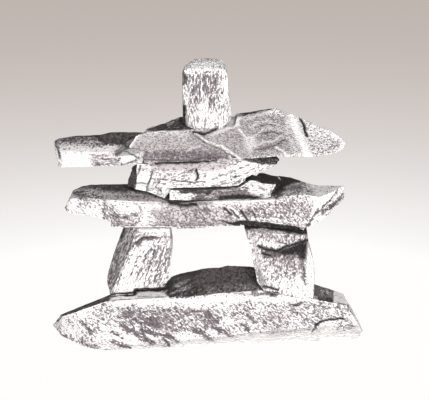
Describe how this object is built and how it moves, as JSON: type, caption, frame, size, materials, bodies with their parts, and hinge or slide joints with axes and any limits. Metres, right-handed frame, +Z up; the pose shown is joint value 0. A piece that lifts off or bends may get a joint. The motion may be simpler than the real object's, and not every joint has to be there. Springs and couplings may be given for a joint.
{
  "type": "stacked stone inukshuk sculpture",
  "caption": "Small human-shaped marker of nine rough natural stones: long base, two legs, hip slab, waist, arm, leaning shoulder slab and head.",
  "frame": {"origin": "on the ground under the middle of the figure's bounding box, on the flat underside of the base stone", "axes": "+X to the viewer's right along the base stone, -Y towards the viewer, +Z up through the head"},
  "size_m": [0.312, 0.1118, 0.2805],
  "materials": {
    "base_stone": "matte",
    "left_leg_stone": "matte",
    "right_leg_stone": "matte",
    "hip_slab": "matte",
    "lower_waist_stone": "matte",
    "upper_waist_stone": "matte",
    "left_arm_stone": "matte",
    "shoulder_slab": "matte",
    "head_stone": "matte"
  },
  "bodies": {
    "root": {"base_stone": "base_stone", "left_leg_stone": "left_leg_stone", "right_leg_stone": "right_leg_stone", "hip_slab": "hip_slab", "lower_waist_stone": "lower_waist_stone", "upper_waist_stone": "upper_waist_stone", "left_arm_stone": "left_arm_stone", "shoulder_slab": "shoulder_slab", "head_stone": "head_stone"}
  },
  "joints": []
}
